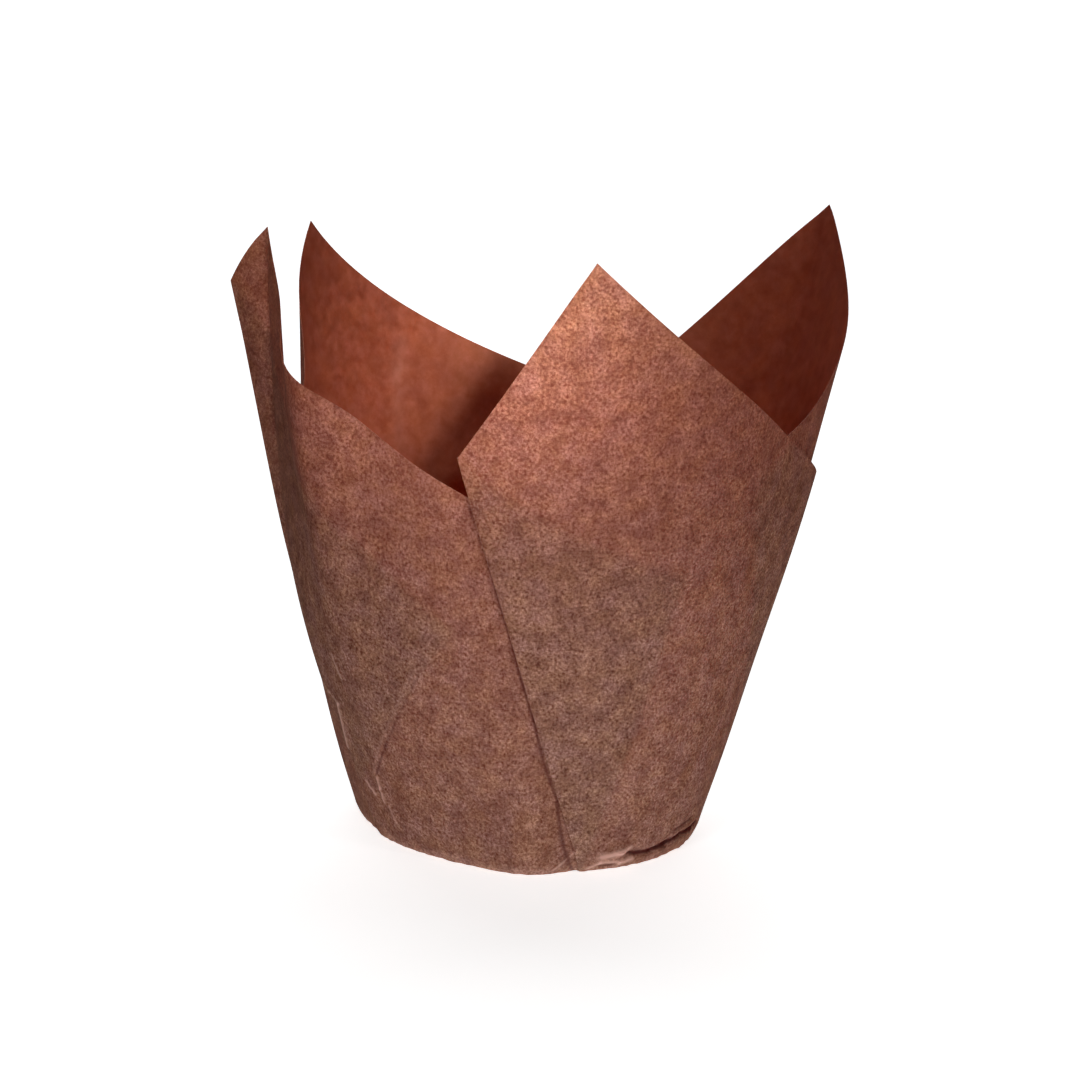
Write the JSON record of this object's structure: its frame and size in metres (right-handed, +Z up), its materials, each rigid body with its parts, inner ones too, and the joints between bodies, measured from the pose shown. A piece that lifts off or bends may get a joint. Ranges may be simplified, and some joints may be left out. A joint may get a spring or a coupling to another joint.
{
  "type": "cupcake liner",
  "caption": "Tulip-style cupcake liner: a square sheet of thin brown baking paper folded into a round open cup with tall pointed petals and overlapping pleats.",
  "frame": {"origin": "centre of the underside of the round base, on the surface that the cup stands on", "axes": "+Z up out of the open mouth; the front, with the widest petal, faces -Y; +X to the right of someone who looks at the front"},
  "size_m": [0.0896, 0.0896, 0.0898],
  "materials": {
    "baking_paper": "matte greaseproof paper, mottled, slightly translucent"
  },
  "bodies": {
    "root": {"folded_sheet": "baking_paper"}
  },
  "joints": []
}
